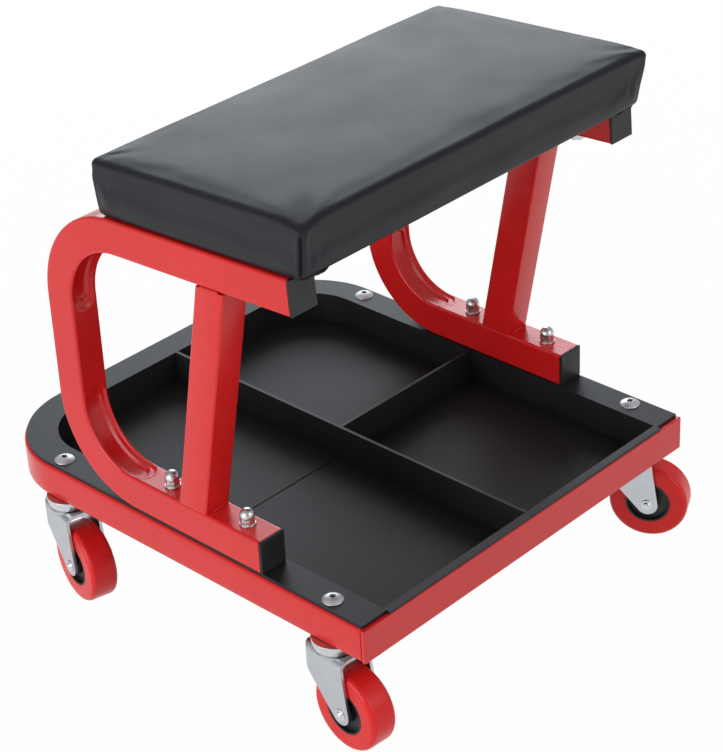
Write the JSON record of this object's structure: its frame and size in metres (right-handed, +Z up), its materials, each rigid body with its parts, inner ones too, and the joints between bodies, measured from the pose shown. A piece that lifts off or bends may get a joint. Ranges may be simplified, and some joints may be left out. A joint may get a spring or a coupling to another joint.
{
  "type": "creeper seat",
  "caption": "Low rolling work seat: a padded cushion on bent tube side frames above a divided tool tray, on swivel castors.",
  "frame": {"origin": "on the floor, at the middle of the whole seat's box with its castors turned as in the picture", "axes": "+Z up; X along the cushion's long side, with the picture's near left side frame at -X; -Y is the front, where the side frames are open"},
  "size_m": [0.3942, 0.4212, 0.4159],
  "materials": {
    "red_paint": "gloss powder coat",
    "black_plastic": "satin moulded",
    "zinc": "bright zinc plate",
    "plywood": "raw",
    "foam": "open-cell foam",
    "vinyl": "fine grained vinyl",
    "hub_plastic": "moulded",
    "wheel_red": "semi-gloss"
  },
  "bodies": {
    "frame": {"base_rail": "red_paint", "front_bar": "red_paint", "tool_tray": "black_plastic", "left_side_frame": "red_paint", "right_side_frame": "red_paint", "left_frame_bends": "red_paint", "right_frame_bends": "red_paint", "left_upright": "red_paint", "right_upright": "red_paint", "left_seat_arm_cap": "black_plastic", "left_base_arm_cap": "black_plastic", "right_seat_arm_cap": "black_plastic", "right_base_arm_cap": "black_plastic", "frame_bolts": "zinc", "frame_washers": "zinc", "frame_nuts": "zinc", "seat_board": "plywood", "seat_foam": "foam", "seat_cover": "vinyl", "seat_cover_folds": "vinyl", "seat_bolts": "zinc", "seat_bolt_washers": "zinc", "seat_tee_nuts": "zinc", "corner_screws": "zinc", "front_left_upper_race": "zinc", "front_left_race_balls": "zinc", "front_left_kingpin": "zinc", "back_left_upper_race": "zinc", "back_left_race_balls": "zinc", "back_left_kingpin": "zinc", "front_right_upper_race": "zinc", "front_right_race_balls": "zinc", "front_right_kingpin": "zinc", "back_right_upper_race": "zinc", "back_right_race_balls": "zinc", "back_right_kingpin": "zinc"},
    "front_left_fork_body": {"front_left_fork": "zinc", "front_left_axle_bolt": "zinc", "front_left_axle_nut": "zinc", "front_left_axle_bush": "zinc"},
    "front_left_wheel_body": {"front_left_wheel_core": "hub_plastic", "front_left_wheel_tread": "wheel_red"},
    "back_left_fork_body": {"back_left_fork": "zinc", "back_left_axle_bolt": "zinc", "back_left_axle_nut": "zinc", "back_left_axle_bush": "zinc"},
    "back_left_wheel_body": {"back_left_wheel_core": "hub_plastic", "back_left_wheel_tread": "wheel_red"},
    "front_right_fork_body": {"front_right_fork": "zinc", "front_right_axle_bolt": "zinc", "front_right_axle_nut": "zinc", "front_right_axle_bush": "zinc"},
    "front_right_wheel_body": {"front_right_wheel_core": "hub_plastic", "front_right_wheel_tread": "wheel_red"},
    "back_right_fork_body": {"back_right_fork": "zinc", "back_right_axle_bolt": "zinc", "back_right_axle_nut": "zinc", "back_right_axle_bush": "zinc"},
    "back_right_wheel_body": {"back_right_wheel_core": "hub_plastic", "back_right_wheel_tread": "wheel_red"}
  },
  "joints": [
    {"name": "front_left_swivel", "type": "hinge", "parent": "frame", "child": "front_left_fork_body", "pos_m": [-0.17551, -0.16042, 0.0774], "axis": [0, 0, 1], "continuous": true},
    {"name": "front_left_roll", "type": "hinge", "parent": "front_left_fork_body", "child": "front_left_wheel_body", "pos_m": [-0.17677, -0.17838, 0.03175], "axis": [0.9976, -0.0698, 0], "continuous": true},
    {"name": "back_left_swivel", "type": "hinge", "parent": "frame", "child": "back_left_fork_body", "pos_m": [-0.17551, 0.12808, 0.0774], "axis": [0, 0, 1], "continuous": true},
    {"name": "back_left_roll", "type": "hinge", "parent": "back_left_fork_body", "child": "back_left_wheel_body", "pos_m": [-0.17956, 0.11054, 0.03175], "axis": [0.9744, -0.225, 0], "continuous": true},
    {"name": "front_right_swivel", "type": "hinge", "parent": "frame", "child": "front_right_fork_body", "pos_m": [0.16599, -0.16042, 0.0774], "axis": [0, 0, 1], "continuous": true},
    {"name": "front_right_roll", "type": "hinge", "parent": "front_right_fork_body", "child": "front_right_wheel_body", "pos_m": [0.17402, -0.17653, 0.03175], "axis": [0.8949, 0.4462, 0], "continuous": true},
    {"name": "back_right_swivel", "type": "hinge", "parent": "frame", "child": "back_right_fork_body", "pos_m": [0.16599, 0.12808, 0.0774], "axis": [0, 0, 1], "continuous": true},
    {"name": "back_right_roll", "type": "hinge", "parent": "back_right_fork_body", "child": "back_right_wheel_body", "pos_m": [0.16912, 0.11035, 0.03175], "axis": [0.9848, 0.1736, 0], "continuous": true}
  ]
}
